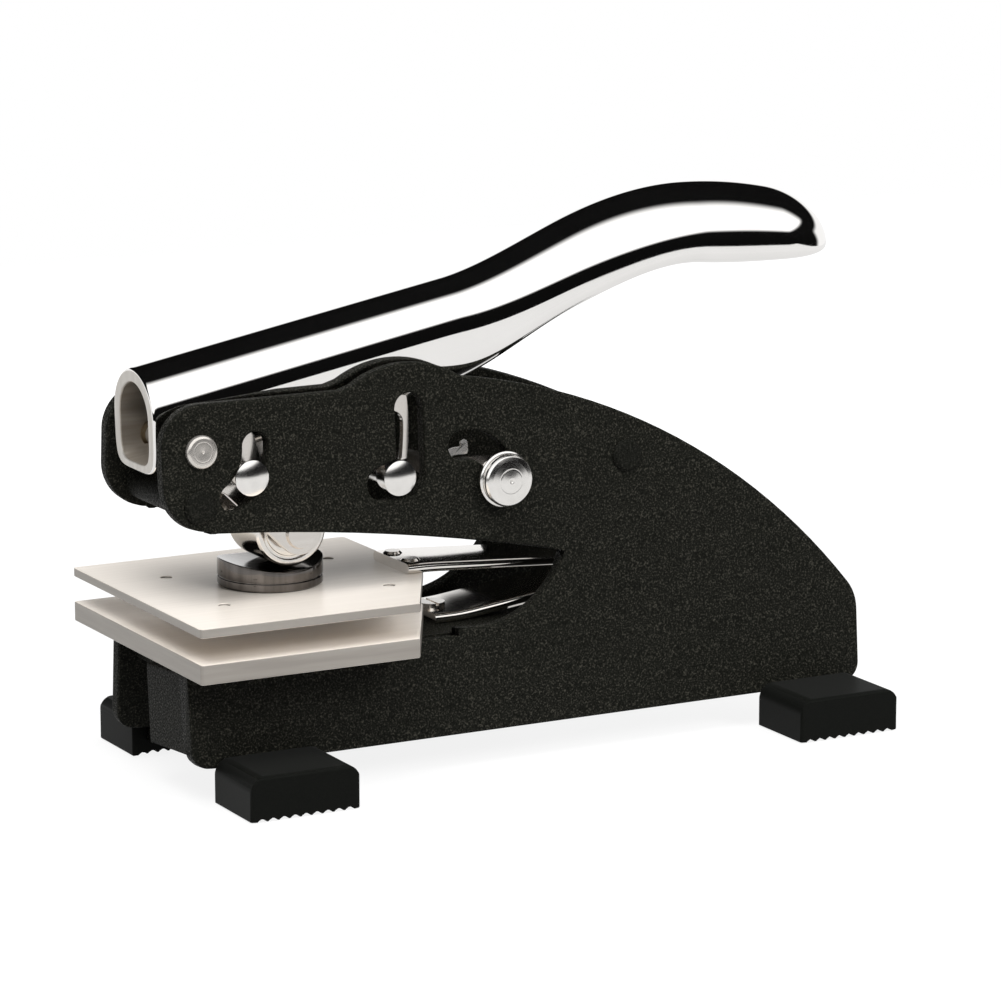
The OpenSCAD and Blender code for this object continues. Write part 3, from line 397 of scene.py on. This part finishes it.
def lever_lines(x):
    """Top, underside and half width of the lever at x: straight tube, bent neck, grip."""
    bend_top = base + bend_x * rise + tall
    neck_top = bend_top + neck_lift * (grip_top - bend_top)
    neck_low = neck_top - neck_h
    top = np.select([x < bend_x, x < neck_x, x < grip_x], [
        base + x * rise + tall,
        cubic(x, bend_x, bend_top, rise, neck_x, neck_top, neck_slope),
        cubic(x, neck_x, neck_top, neck_slope, grip_x, grip_top, 0)],
        grip_top - nose_fall * ((x - grip_x) / (nose_x - grip_x)) ** 2)
    grip_low = grip_top - grip_h
    low = np.select([x < low_bend_x, x < neck_x, x < grip_x], [
        base + x * rise,
        cubic(x, low_bend_x, base + low_bend_x * rise, rise, neck_x, neck_low, neck_slope),
        cubic(x, neck_x, neck_low, neck_slope, grip_x, grip_low, grip_low_slope)],
        cubic(np.minimum(x, nose_x), grip_x, grip_low, grip_low_slope, nose_x, grip_low - nose_drop, 0))
    half = cubic(np.clip(x, bend_x, grip_x), bend_x, tube_w / 2, 0, grip_x, grip_w / 2, 0)
    return top, low, half


def nose_share(x, power):
    """Share of the full section that is left along the rounded nose: (1 - t^power)^(1/power)."""
    t = np.clip((x - nose_x) / (tip_x - nose_x), 0, 1)
    return (1 - t**power) ** (1 / power)


def lever_ring(x, inset, turn):
    """Section at x shrunk by inset: an arch of half width h on a box, y = h sgn(c)|c|^p, z = spring +
    arch |s|^p above the spring line and spring - depth |s|^q below it, with c and s the turn's cosine and
    sine."""
    top, low, half = lever_lines(x)
    share = nose_share(x, nose_side)
    top = tip_z + (top - inset - tip_z) * share
    low = tip_z + (low + floor_t * inset / wall - tip_z) * share
    half = (half - inset) * nose_share(x, nose_plan)
    run = np.clip((x - low_bend_x) / (grip_x - low_bend_x), 0, 1)
    grip = run * run * (3 - 2 * run)
    arch = (1 - grip) * half + grip * grip_arch * (top - low)
    spring = top - arch
    c, s = np.cos(turn), np.sin(turn)
    p, q = 2 / (arch_power - arch_loss * grip), 2 / (floor_power - floor_loss * grip)
    y = half * np.sign(c) * np.where(s >= 0, np.abs(c) ** p, np.abs(c) ** q)
    z = np.where(s >= 0, spring + arch * np.abs(s) ** p, spring - (spring - low) * np.abs(s) ** q)
    return y, z


# The path runs from the nose along the outside, round the mouth's edge, across the end face and into the
# hollow. Each row has its nominal x, the share of the straight front still to go to the mouth's plane, its
# inset and its setback.
ring, nose_rows, body_rows, front_rows, inner_rows, edge_rows = 208, 48, 120, 14, 15, 7
edge_r, inner_edge, lip, nose_stop, first_share = 0.8, 0.4, 0.1, np.radians(89.9), 0.02
quarter = np.linspace(0, np.pi / 2, edge_rows)
nose = nose_x + (tip_x - nose_x) * np.sin(np.linspace(nose_stop, 0, nose_rows))
body_x = np.linspace(nose_x, low_bend_x, body_rows)[1:]
front = np.linspace(1, first_share, front_rows)[1:]
outside = nose.size + body_x.size + front.size
rim = 2 * edge_rows + 2
path_x = np.concatenate([
    nose, body_x, np.full(front.size + rim + inner_rows, low_bend_x),
    np.linspace(low_bend_x, hollow_x, inner_rows)[1:]])
keep = np.concatenate([
    np.ones(nose.size + body_x.size), front, np.zeros(rim), np.linspace(first_share, 1, inner_rows),
    np.ones(inner_rows - 1)])
inset = np.concatenate([
    np.zeros(outside), edge_r * (1 - np.cos(quarter)), [edge_r + lip, wall - inner_edge - lip],
    wall - inner_edge * np.cos(quarter), np.full(2 * inner_rows - 1, wall)])
setback = np.concatenate([
    np.zeros(outside), edge_r * (1 - np.sin(quarter)), [0, 0], inner_edge * (1 - np.cos(quarter)),
    np.zeros(2 * inner_rows - 1)])
turn = np.linspace(0, 2 * np.pi, ring, endpoint=False)[None, :]
x = np.repeat(path_x[:, None], ring, 1)
y, z = lever_ring(x, inset[:, None], turn)
# In the straight front a ring slides along the tube to its place before the bend
above = z - (base + low_bend_x * rise)
mouth_mid = base + mouth_x * rise + tall / 2
lean = np.tan(mouth_lean)
mouth = (mouth_x - (base + above - mouth_mid) * lean) / (1 + rise * lean)
slid = (1 - keep[:, None]) * (mouth + setback[:, None]) + keep[:, None] * low_bend_x
straight = x <= low_bend_x + 1e-9
z = np.where(straight, base + slid * rise + above, z)
x = np.where(straight, slid, x)

# Lug under the tube's floor that carries the drive pin: a tapered bar with two round ends, between the cheeks
drive_x, drive_z = axis_of("drive_pin")[:2]
lug_r, lug_top_r, lug_shift, lug_rise = 6.4, 1.2, 1.0, 1.0
lug_steps, lug_top_steps = 49, 15
lug_top = np.array([drive_x + lug_shift, base + drive_x * rise + lug_rise])
reach = lug_top - [drive_x, drive_z]
heading = np.arctan2(reach[1], reach[0])
opening = np.arccos((lug_r - lug_top_r) / np.linalg.norm(reach))
big = np.linspace(heading + opening, heading + 2 * np.pi - opening, lug_steps)
small = np.linspace(heading - opening, heading + opening, lug_top_steps)
outline = np.concatenate([
    [drive_x, drive_z] + lug_r * np.stack([np.cos(big), np.sin(big)], -1),
    lug_top + lug_top_r * np.stack([np.cos(small), np.sin(small)], -1)])
lug = np.stack([np.insert(outline, 1, s * tube_w / 2, axis=1) for s in (-1, 1)])

chrome = polished("lever_chrome", (0.88, 0.865, 0.845), (0.92, 0.905, 0.885), smooth=0.03, dull=0.07,
                  stretch=(60, 60, 60))
sawn = polished("sawn_end", (0.55, 0.52, 0.48), (0.68, 0.65, 0.605), smooth=0.3, dull=0.45,
                stretch=(500, 500, 30), metallic=0.6)
raw = polished("raw_hollow", (0.26, 0.225, 0.185), (0.42, 0.375, 0.32), smooth=0.3, dull=0.45,
               stretch=(25, 400, 400), metallic=0.55)
lever = made_piece("chrome_lever", [np.stack([x, y, z], -1), lug], chrome, "lever", "lever_chrome",
                   "handle_lever")
# Faces are still in path order: band i joins row i to the next one, and the lug comes last. The sawn ring
# takes in the last band of the mouth's outer rounding, and the raw hollow the last two of the inner one
band = np.arange(len(lever.data.polygons)) // ring
sawn_from, raw_from = outside + edge_rows - 2, outside + rim - 3
face_finishes(lever, np.select([band >= raw_from, band >= sawn_from], [2, 1], 0), sawn, raw)


# Press cheeks: two blanked steel arms, satin, that lie against the lever, hang the roller under the drive
# pin and reach back past the stop pin. They show through the slots of the plates.
cheek_ease = 0.2
satin = polished("satin_cheek", (0.68, 0.645, 0.605), (0.74, 0.705, 0.665), smooth=0.12, dull=0.2,
                 stretch=(60, 500, 500), metallic=0.95)
for side_name in ("left", "right"):
    eased_copy(side_name + "_press_cheek", "satin_" + side_name + "_cheek", cheek_ease, satin, "lever")


# Drive pin and stop pin: polished rods through the slots with a domed head on each end. Thicker ends guide
# the stop pin along the edges of its slots.
pin_r, pin_ease, guide_r, guide_in = 3.0, 0.2, 4.0, 15.43
dome_r, dome_deep, dome_rim, seat_in, dome_rows = 4.5, 1.1, 0.6, 2.91, 20
mirror = polished("mirror_steel", (0.84, 0.82, 0.79), (0.9, 0.88, 0.85), smooth=0.16, dull=0.22,
                  stretch=(400, 400, 400))


def domed_pin(node, guided):
    """Half line of a domed pin, mirrored: a ball cap of radius (r^2 + d^2) / 2d, a rim, then the shank."""
    at_x, at_z, half = axis_of(node)
    under = half - seat_in
    ball = (dome_r**2 + dome_deep**2) / (2 * dome_deep)
    polar = np.linspace(0, np.arcsin(dome_r / ball), dome_rows)
    cap = np.column_stack([under + dome_rim + dome_deep - ball * (1 - np.cos(polar)), ball * np.sin(polar)])
    shoulder = [(under, guide_r), (guide_in, guide_r), (guide_in, pin_r)] if guided else [(under, pin_r)]
    stem = softened([cap[-1], (under, dome_r)] + shoulder + [(0, pin_r)], pin_ease)
    return turned(both_ways(np.concatenate([cap, stem[1:]])), (at_x, 0, at_z), across)


made_piece("domed_drive_pin", [domed_pin("drive_pin", False)], mirror, "lever", "bright_steel", "drive_pin")
made_piece("domed_stop_pin", [domed_pin("stop_pin", True)], mirror, "stop", "bright_steel", "stop_pin")


# Press roller: hardened and ground steel, its end faces turned back inside a rim. It runs on its own axle
# between two spacers of satin steel.
roller_x, roller_z, roller_half = axis_of("press_roller")
roller_r, bore_r, rim_w, rim_cut, rim_deep, rim_ease, roller_ease = 9.8, 2.55, 1.8, 1.0, 0.8, 0.6, 0.12
face_r, cut_r, cut_y = roller_r - rim_w - rim_cut, roller_r - rim_w, roller_half - rim_deep
roller_line = softened([
    (0, bore_r), (roller_half, bore_r), (roller_half, face_r), (cut_y, face_r), (cut_y, cut_r),
    (roller_half, cut_r), (roller_half, roller_r - rim_ease), (roller_half - rim_ease, roller_r),
    (0, roller_r)], roller_ease)
ground = polished("ground_roller", (0.74, 0.71, 0.67), (0.82, 0.79, 0.75), smooth=0.1, dull=0.2,
                  stretch=(900, 60, 900))
roller_rings = turned(both_ways(roller_line), (roller_x, 0, roller_z), across)
made_piece("ground_roller", [roller_rings], ground, "roller", "bright_steel", "press_roller")
finish_node("roller_axle", satin)
finish_node("roller_spacers", satin)


# Saddle pad: a round of dark polished steel with a groove turned round its side and a long hollow milled
# across its top, in which the roller rocks. One screw from below holds it on the upper die plate.
pad_x, pad_r, pad_h, saddle_r = 27.9, 13.5, 5.2, 44.0
groove_low, groove_high, groove_deep, pad_ease, groove_ease = 2.2, 2.7, 0.5, 0.3, 0.12
pad_base = 1000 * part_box("saddle_pad")[0].z
flat_rows, round_rows, pad_ring, side_top = 25, 6, 160, groove_high + 1
bow_out = np.linspace(0, np.pi / 2, round_rows)
flat_r = np.linspace(0, pad_r - pad_ease, flat_rows, endpoint=False)
top_r = np.concatenate([flat_r, pad_r - pad_ease * (1 - np.sin(bow_out))])
top_fall = np.concatenate([np.zeros(flat_rows), pad_ease * (1 - np.cos(bow_out))])
side_line = softened([
    (side_top, pad_r), (groove_high, pad_r), (groove_high, pad_r - groove_deep),
    (groove_low, pad_r - groove_deep), (groove_low, pad_r), (groove_deep, pad_r), (0, pad_r - groove_deep),
    (0, 0)], groove_ease)
around = np.linspace(0, 2 * np.pi, pad_ring, endpoint=False)[None, :]
all_r = np.concatenate([top_r, side_line[:, 1]])[:, None]
pad_dx, pad_y = all_r * np.cos(around), all_r * np.sin(around)
# The hollow is part of a cylinder across the press; the side below it keeps its own heights
pad_z = pad_h + saddle_r - np.sqrt(saddle_r**2 - pad_dx**2)
pad_z[:len(top_r)] -= top_fall[:, None]
pad_z[len(top_r):] = side_line[:, :1]
dark_steel = polished("dark_steel", (0.1, 0.092, 0.085), (0.17, 0.155, 0.145), smooth=0.07, dull=0.14,
                      stretch=(700, 700, 40))
made_piece("dark_saddle_pad", [np.stack([pad_x + pad_dx, pad_y, pad_base + pad_z], -1)], dark_steel, "ram",
           "dark_steel", "saddle_pad")


# Bow spring: a strip of polished spring steel with rounded edges, bent into a lying hairpin. Its lower leaf
# is screwed to the bed, its upper leaf is riveted to the upper die plate and lifts it.
bow_t, bow_w, die_end, bow_lap, bow_reach = 2.7, 20.0, 68.4, 6.0, 43.6
bow_fall, bow_climb = np.radians(3.8), np.radians(7.0)
top_kink, low_kink, low_end, kink_ease, kink_steps = 0.6, 9.6, 1.85, 4, 8
bend_steps, leaf_steps, strip_steps = 41, 24, 13
seat_z, upper_top = 34.3, pad_base
top_x, bow_x = die_end + top_kink, die_end + bow_reach
low_x, low_front = die_end + low_kink, die_end + low_end
top_drop, low_lift = (bow_x - top_x) * np.tan(bow_fall), (bow_x - low_x) * np.tan(bow_climb)
bend_r = (upper_top - seat_z - bow_t - top_drop - low_lift) / (1 / np.cos(bow_fall) + 1 / np.cos(bow_climb))
bend_z = upper_top - top_drop - bend_r / np.cos(bow_fall)
mid_r, upper_mid, lower_mid = bend_r + bow_t / 2, upper_top + bow_t / 2, seat_z + bow_t / 2
swing = np.linspace(np.pi / 2 - bow_fall, bow_climb - np.pi / 2, bend_steps)
bend = np.column_stack([bow_x + mid_r * np.cos(swing), bend_z + mid_r * np.sin(swing)])
upper = softened([(die_end - bow_lap, upper_mid), (top_x, upper_mid), bend[0]], kink_ease, kink_steps)
lower = softened([bend[-1], (low_x, lower_mid), (low_front, lower_mid)], kink_ease, kink_steps)
part_way = np.linspace(0, 1, leaf_steps)[1:-1, None]
line = np.concatenate([
    upper[:-1], upper[-2] + (bend[0] - upper[-2]) * part_way, bend,
    bend[-1] + (lower[1] - bend[-1]) * part_way, lower[1:]])
# The strip's section, a flat with half-round edges, is carried square to the line
along = np.gradient(line, axis=0)
along /= np.linalg.norm(along, axis=1, keepdims=True)
out = np.column_stack([-along[:, 1], along[:, 0]])
round_edge = np.linspace(-np.pi / 2, np.pi / 2, strip_steps)
edge_y = bow_w / 2 - bow_t / 2 + bow_t / 2 * np.cos(round_edge)
strip_y = np.concatenate([edge_y, -edge_y])
strip_n = bow_t / 2 * np.concatenate([np.sin(round_edge), -np.sin(round_edge)])
strip = np.stack([
    line[:, :1] + out[:, :1] * strip_n, np.repeat(strip_y[None], len(line), 0),
    line[:, 1:] + out[:, 1:] * strip_n], -1)
spring_steel = polished("spring_steel", (0.8, 0.765, 0.72), (0.86, 0.83, 0.79), smooth=0.08, dull=0.15,
                        stretch=(30, 300, 300))
bow = closed_piece("bow_strip", [strip], spring_steel, "spring_steel", "bow_spring")
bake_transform(bow)
finish_node("bow_rivets", spring_steel)
finish_node("bow_screw", spring_steel)
finish_node("lower_plate_screws", turned_steel)
finish_node("pad_screw", turned_steel)


# Lock: a crank on a hidden shaft swings a short bolt along the curved slot; a turned button closes its
# outer end, and a small hooked catch of sheet steel behind the plate ends the swing.
catch_ease = 0.15
finish_node("lock_crank", satin)
finish_node("lock_bolt", satin)
eased_copy("lock_detent", "hooked_lock_catch", catch_ease, mirror, "frame")
button_low, button_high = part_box("lock_button")
button_x, button_z = 500 * (button_low.x + button_high.x) + x_mid, 500 * (button_low.z + button_high.z)
button_r, button_h = 500 * (button_high.x - button_low.x), 1000 * (button_high.y - button_low.y)
flange_h, flange_ease, knob_in, neck_in, neck_w, knob_bevel, button_ease = 1.8, 0.4, 0.5, 0.95, 0.6, 0.3, 0.16
knob_h = flange_h + neck_w
# The low dome with its one ring, as fall from the top and distance from the rim, and the centre, as fall
# and radius
dome = [(1.6, knob_in), (0.9, 1.0), (0.55, 2.2), (0.25, 4.0), (0.29, 4.15), (0.2, 4.35)]
centre = [(0.06, 1.6), (0, 0.9), (0, 0.5), (0.3, 0.25), (0.3, 0)]
button_line = softened([
    (0, 0), (0, button_r - flange_ease), (flange_ease, button_r), (flange_h - flange_ease, button_r),
    (flange_h, button_r - knob_in), (flange_h, button_r - neck_in), (knob_h, button_r - neck_in),
    (knob_h + knob_bevel, button_r - knob_in)]
    + [(button_h - fall, button_r - inward) for fall, inward in dome]
    + [(button_h - fall, radius) for fall, radius in centre], button_ease)
button_foot = (button_x, 1000 * button_high.y, button_z)
made_piece("turned_lock_button", [turned(button_line, button_foot, (0, -1, 0), count=128)], mirror, "lock",
           "lever_chrome", "lock_button")


# Studio: a white sweep that glows to the camera, a large soft box above the front and a dark room behind
# it, which give the chrome its black and white bands.
def fade(tree, source, low, high):
    """Smooth step from 0 at low to 1 at high of a value."""
    ramp = tree.nodes.new("ShaderNodeMapRange")
    ramp.interpolation_type = "SMOOTHSTEP"
    ramp.inputs["From Min"].default_value = low
    ramp.inputs["From Max"].default_value = high
    tree.links.new(source, ramp.inputs["Value"])
    return ramp.outputs["Result"]


def joined(tree, first, operation, second, third=None):
    """One Math node over sockets or constants."""
    step = tree.nodes.new("ShaderNodeMath")
    step.operation = operation
    for place, value in enumerate((first, second, third)):
        if isinstance(value, (int, float)):
            step.inputs[place].default_value = value
        elif value is not None:
            tree.links.new(value, step.inputs[place])
    return step.outputs["Value"]


world = bpy.data.worlds.new("studio")
bpy.context.scene.world = world
world.use_nodes = True
sky = world.node_tree
where = sky.nodes.new("ShaderNodeTexCoord")
split = sky.nodes.new("ShaderNodeSeparateXYZ")
sky.links.new(where.outputs["Generated"], split.inputs["Vector"])
to_x, to_y, to_z = split.outputs["X"], split.outputs["Y"], split.outputs["Z"]
box_tilt, box_glow, room_glow = -0.25, 1.3, 0.004
tilted = joined(sky, to_x, "MULTIPLY_ADD", box_tilt, to_z)
soft_box = joined(sky, fade(sky, tilted, low=0.28, high=0.36), "MULTIPLY",
                  fade(sky, to_y, low=0.03, high=-0.2))
backdrop = joined(sky, fade(sky, to_y, low=-0.1, high=0.1), "MULTIPLY",
                  fade(sky, to_z, low=0.3, high=0.2))
room_light = joined(sky, soft_box, "MULTIPLY_ADD", box_glow, joined(sky, backdrop, "ADD", room_glow))
# Soft surfaces are lit mostly from above and a little from the right, less from the die end
side_lean, cap_glow, wall_glow = 0.35, 0.9, 0.08
lean_over = joined(sky, to_x, "MULTIPLY_ADD", side_lean, to_z)
open_side = joined(sky, fade(sky, lean_over, low=0.2, high=0.8), "MULTIPLY_ADD", cap_glow, wall_glow)
rays = sky.nodes.new("ShaderNodeLightPath")
shiny = sky.nodes.new("ShaderNodeMix")
sky.links.new(rays.outputs["Is Glossy Ray"], shiny.inputs["Factor"])
sky.links.new(open_side, shiny.inputs["A"])
sky.links.new(room_light, shiny.inputs["B"])
seen = sky.nodes.new("ShaderNodeMix")
seen.inputs["B"].default_value = 1.0
sky.links.new(rays.outputs["Is Camera Ray"], seen.inputs["Factor"])
sky.links.new(shiny.outputs["Result"], seen.inputs["A"])
sky.links.new(seen.outputs["Result"], sky.nodes["Background"].inputs["Strength"])
sky.nodes["Background"].inputs["Color"].default_value = (1, 1, 1, 1)

# Close to the press the sweep keeps its shadow; further out only its glow is left
sweep_half_m, sweep_z_m = 0.8, -0.0003
near_m, far_m, near_share = 0.15, 0.55, 0.68
mirror_glow, camera_glow = 0.89, 0.38
side = np.array([-sweep_half_m, sweep_half_m])
corner = np.stack(np.meshgrid(side, side, indexing="ij"), -1).reshape(-1, 2)
mesh = bpy.data.meshes.new("sweep")
mesh.from_pydata(np.column_stack([corner, np.full(4, sweep_z_m)]).tolist(), [], [[0, 2, 3, 1]])
sweep = bpy.data.objects.new("sweep", mesh)
bpy.context.scene.collection.objects.link(sweep)
white = bpy.data.materials.new("white_sweep")
white.use_nodes = True
paper = white.node_tree
shader = paper.nodes["Principled BSDF"]
shader.inputs["Base Color"].default_value = (0.45, 0.45, 0.45, 1)
shader.inputs["Roughness"].default_value = 0.9
shader.inputs["Specular IOR Level"].default_value = 0
where = paper.nodes.new("ShaderNodeTexCoord")
away = paper.nodes.new("ShaderNodeVectorMath")
away.operation = "LENGTH"
paper.links.new(where.outputs["Object"], away.inputs[0])
rays = paper.nodes.new("ShaderNodeLightPath")
to_camera, to_gloss = rays.outputs["Is Camera Ray"], rays.outputs["Is Glossy Ray"]
glow = paper.nodes.new("ShaderNodeEmission")
paper.links.new(joined(paper, to_camera, "MULTIPLY_ADD", camera_glow, mirror_glow), glow.inputs["Strength"])
further_out = fade(paper, away.outputs["Value"], near_m, far_m)
plain = joined(paper, further_out, "MULTIPLY_ADD", 1 - near_share, near_share)
bright = joined(paper, joined(paper, to_camera, "MAXIMUM", to_gloss), "MULTIPLY", plain)
mix = paper.nodes.new("ShaderNodeMixShader")
paper.links.new(bright, mix.inputs["Fac"])
paper.links.new(shader.outputs["BSDF"], mix.inputs[1])
paper.links.new(glow.outputs["Emission"], mix.inputs[2])
paper.links.new(mix.outputs["Shader"], paper.nodes["Material Output"].inputs["Surface"])
mesh.materials.append(white)


def aimed(thing, place, target):
    """Puts a lamp or the camera at a place, in metres, and turns it to a target."""
    thing.location = place
    thing.rotation_mode = "QUATERNION"
    thing.rotation_quaternion = (Vector(target) - thing.location).to_track_quat("-Z", "Y")
    bpy.context.scene.collection.objects.link(thing)


lamp_target = (0, 0, 0.05)
lamps = (("key", (0.62, -1.25, 0.95), 0.6, 15), ("top", (-0.5, -0.45, 1.35), 0.9, 19))
for name, place, size, power in lamps:
    lamp = bpy.data.lights.new(name, "AREA")
    lamp.size = size
    lamp.energy = power
    lit = bpy.data.objects.new(name, lamp)
    lit.visible_glossy = False
    aimed(lit, place, lamp_target)

# The camera's place and aim were fitted to the photograph, in mm from the front feet
camera_x, camera_y, camera_z = -446.552, -997.6, 302.27
target_x, target_z = 94.575, 62.737
camera = bpy.data.objects.new("camera", bpy.data.cameras.new("camera"))
camera.data.lens = 159.98
camera.data.sensor_width = 36
aimed(camera, ((camera_x - x_mid) / 1000, camera_y / 1000, camera_z / 1000),
      ((target_x - x_mid) / 1000, 0, target_z / 1000))
bpy.context.scene.camera = camera
bpy.context.scene.view_settings.view_transform = "Standard"
